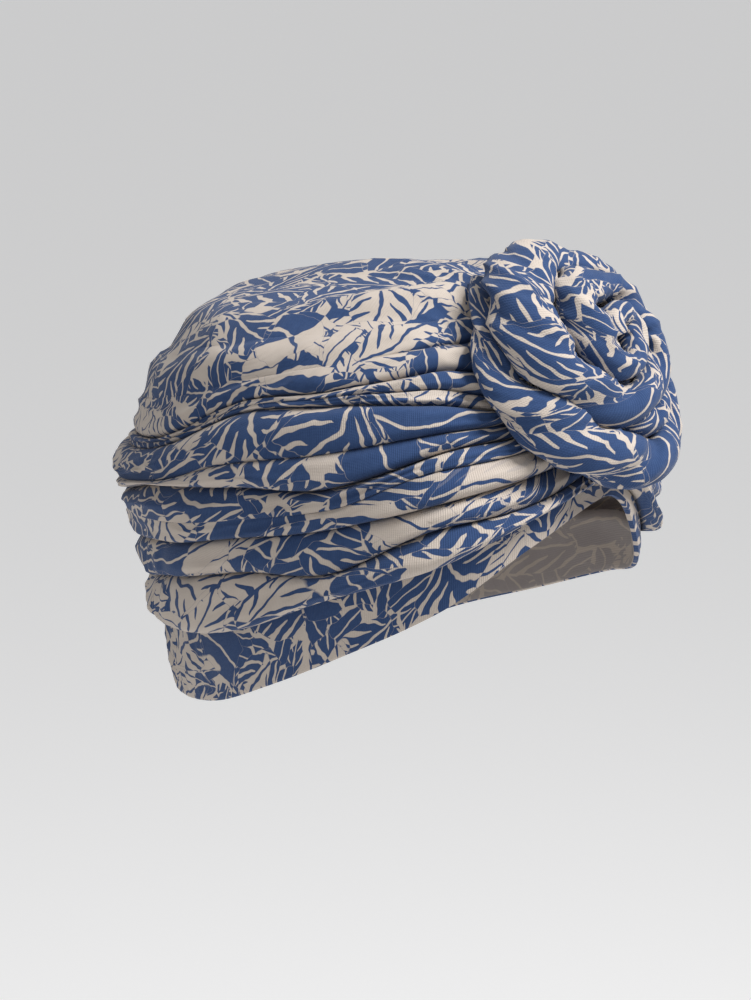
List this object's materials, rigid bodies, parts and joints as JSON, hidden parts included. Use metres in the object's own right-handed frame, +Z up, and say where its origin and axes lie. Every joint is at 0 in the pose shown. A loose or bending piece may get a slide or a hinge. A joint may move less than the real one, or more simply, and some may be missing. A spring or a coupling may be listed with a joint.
{
  "type": "turban hat",
  "caption": "Soft pull-on turban hat with a close fitting cap gathered into rolls, a smooth hem band and a coiled rosette at the centre front.",
  "frame": {"origin": "middle of the head's girth, where the hat grips the head, level with the widest part of the cap", "axes": "+Z up through the crown, -Y towards the centre front with the rosette, +X towards the wearer's left"},
  "size_m": [0.1737, 0.2289, 0.1833],
  "materials": {
    "folded_jersey": "matt stretch cotton jersey with fine lengthwise ribs, printed in blue and warm cream",
    "hem_jersey": "the same printed jersey, doubled and smooth, with a soft turned edge",
    "rosette_jersey": "the same printed jersey, twisted into a firm rope"
  },
  "bodies": {
    "root": {"cap": "folded_jersey", "hem_band": "hem_jersey", "rosette_rope": "rosette_jersey", "rosette_inner_strand": "rosette_jersey"}
  },
  "joints": []
}
